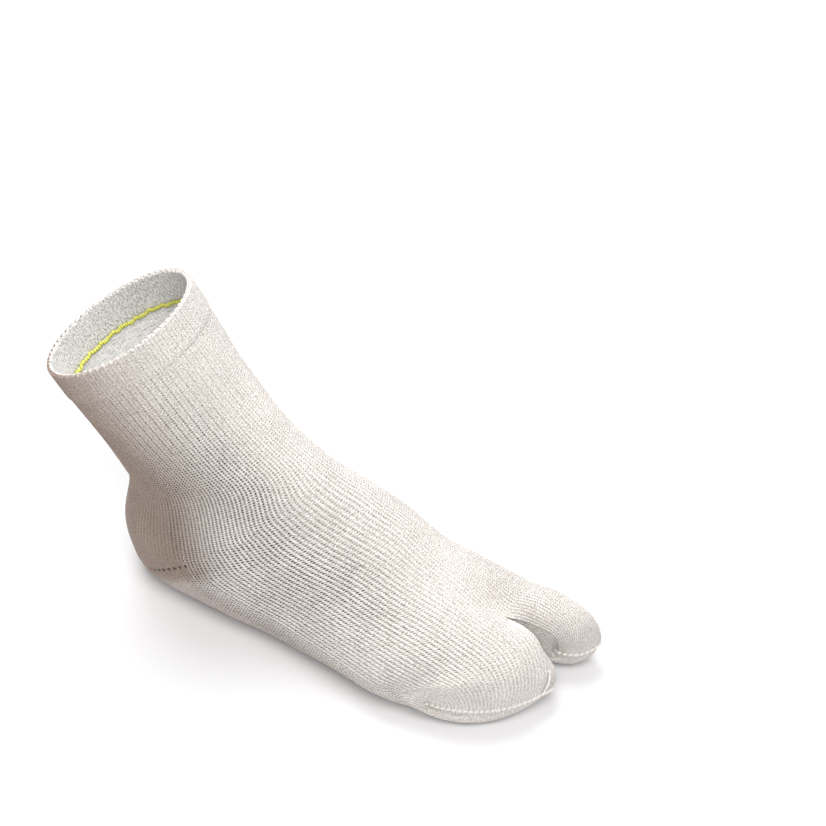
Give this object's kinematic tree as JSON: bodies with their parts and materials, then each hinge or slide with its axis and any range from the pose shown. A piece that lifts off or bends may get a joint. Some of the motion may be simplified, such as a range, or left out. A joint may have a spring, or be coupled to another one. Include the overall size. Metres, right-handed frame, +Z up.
{
  "type": "split-toe sock",
  "caption": "Ankle-high knitted sock with a separate pocket for the big toe, a cupped heel pouch and a turned hem, shaped as on a foot.",
  "frame": {"origin": "on the surface the sole rests on, under the middle of the sock's box", "axes": "+X from heel to toes, +Y towards the big-toe side, +Z up along the leg"},
  "size_m": [0.279, 0.087, 0.174],
  "materials": {
    "knit": "heathered off-white cotton knit",
    "marker": "lime yarn",
    "seam": "off-white linked yarn"
  },
  "bodies": {
    "root": {"cuff": "knit", "leg": "knit", "heel_pouch": "knit", "foot": "knit", "big_toe_pocket": "knit", "small_toes_pocket": "knit", "marker_yarn": "marker", "big_toe_seam": "seam", "small_toes_seam": "seam"}
  },
  "joints": []
}
